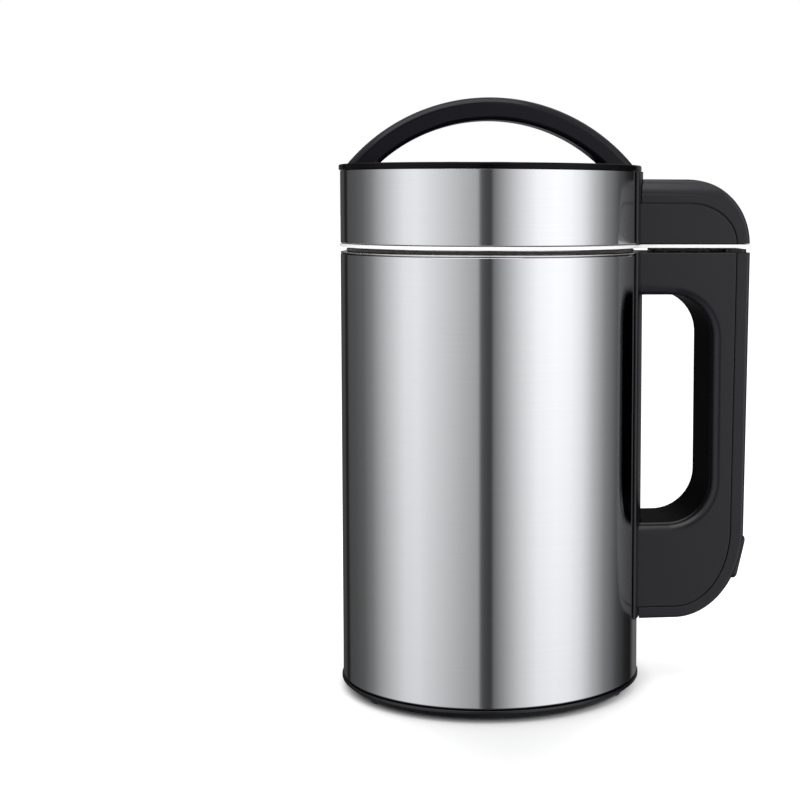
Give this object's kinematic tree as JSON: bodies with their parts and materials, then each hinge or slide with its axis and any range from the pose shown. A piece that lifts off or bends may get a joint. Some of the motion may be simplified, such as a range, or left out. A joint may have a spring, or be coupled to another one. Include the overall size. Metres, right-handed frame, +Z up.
{
  "type": "soy milk maker",
  "caption": "Countertop soy milk maker: brushed steel jug with a D handle and mains inlet, and a lift-off motor head with a blade shaft, control buttons and a folding carry bail.",
  "frame": {"origin": "middle of the appliance's plan at the level it stands on", "axes": "+Z up, +X from the jug towards its handle, -Y towards the side with the buttons"},
  "size_m": [0.191, 0.1412, 0.277],
  "materials": {
    "brushed_steel": "satin",
    "polished_steel": "polished",
    "black_plastic": "satin",
    "gloss_black": "gloss",
    "bail_plastic": "satin",
    "white_plastic": "gloss",
    "black_rubber": "matte",
    "seal_silicone": "matte",
    "aluminium": "satin",
    "laminated_iron": "satin",
    "copper": "satin",
    "brass": "polished",
    "board_green": "satin",
    "button_grey": "satin",
    "lens_blue": "gloss",
    "cable_grey": "matte"
  },
  "bodies": {
    "jug": {"jug_shell": "brushed_steel", "inner_cup": "polished_steel", "heater_plate": "aluminium", "heater_element": "laminated_iron", "thermostat": "black_plastic", "base_ring": "black_plastic", "base_plate": "black_plastic", "base_screw_1": "polished_steel", "base_screw_2": "polished_steel", "base_screw_3": "polished_steel", "foot_1": "black_rubber", "foot_2": "black_rubber", "foot_3": "black_rubber", "handle_body": "black_plastic", "handle_cover": "black_plastic", "grip_liner": "gloss_black", "handle_screw_1": "polished_steel", "handle_screw_2": "polished_steel", "inlet_housing": "black_plastic", "inlet_pin_neutral": "brass", "inlet_pin_live": "brass", "inlet_pin_earth": "brass", "coupler_socket": "black_plastic", "supply_lead": "cable_grey"},
    "head": {"head_skirt": "brushed_steel", "trim_ring": "white_plastic", "cup_seal": "seal_silicone", "head_fairing": "black_plastic", "fairing_cover": "black_plastic", "coupler_plug": "black_plastic", "coupler_pin_1": "brass", "coupler_pin_2": "brass", "coupler_pin_3": "brass", "motor_housing": "polished_steel", "lower_bearing": "polished_steel", "upper_bearing": "polished_steel", "stator_core": "laminated_iron", "field_coil_1": "copper", "field_coil_2": "copper", "motor_bracket": "aluminium", "shaft_tube": "polished_steel", "shaft_seal": "seal_silicone", "temperature_probe": "polished_steel", "overflow_probe": "polished_steel", "top_plate": "gloss_black", "bail_pin_1": "polished_steel", "bail_pin_2": "polished_steel", "indicator_lens": "lens_blue", "control_board": "board_green"},
    "rotor": {"drive_shaft": "polished_steel", "armature": "laminated_iron", "commutator": "copper", "cooling_fan": "black_plastic", "blade": "polished_steel", "blade_nut": "polished_steel"},
    "bail": {"bail_handle": "bail_plastic"},
    "mode_button": {"button_mode": "button_grey"},
    "start_button": {"button_start": "button_grey"},
    "stop_button": {"button_stop": "button_grey"}
  },
  "joints": [
    {"name": "head_lift", "type": "slide", "parent": "jug", "child": "head", "axis": [0, 0, 1], "range_m": [0, 0.2]},
    {"name": "rotor_spin", "type": "hinge", "parent": "head", "child": "rotor", "pos_m": [-0.02483, 0, 0.1], "axis": [0, 0, 1], "continuous": true},
    {"name": "bail_fold", "type": "hinge", "parent": "head", "child": "bail", "pos_m": [-0.02483, 0, 0.2364], "axis": [-1, 0, 0], "range_deg": [0, 90]},
    {"name": "mode_press", "type": "slide", "parent": "head", "child": "mode_button", "axis": [0, 0, -1], "range_m": [0, 0.0008], "stiffness_N_per_m": 500},
    {"name": "start_press", "type": "slide", "parent": "head", "child": "start_button", "axis": [0, 0, -1], "range_m": [0, 0.0008], "stiffness_N_per_m": 500},
    {"name": "stop_press", "type": "slide", "parent": "head", "child": "stop_button", "axis": [0, 0, -1], "range_m": [0, 0.0008], "stiffness_N_per_m": 500}
  ]
}
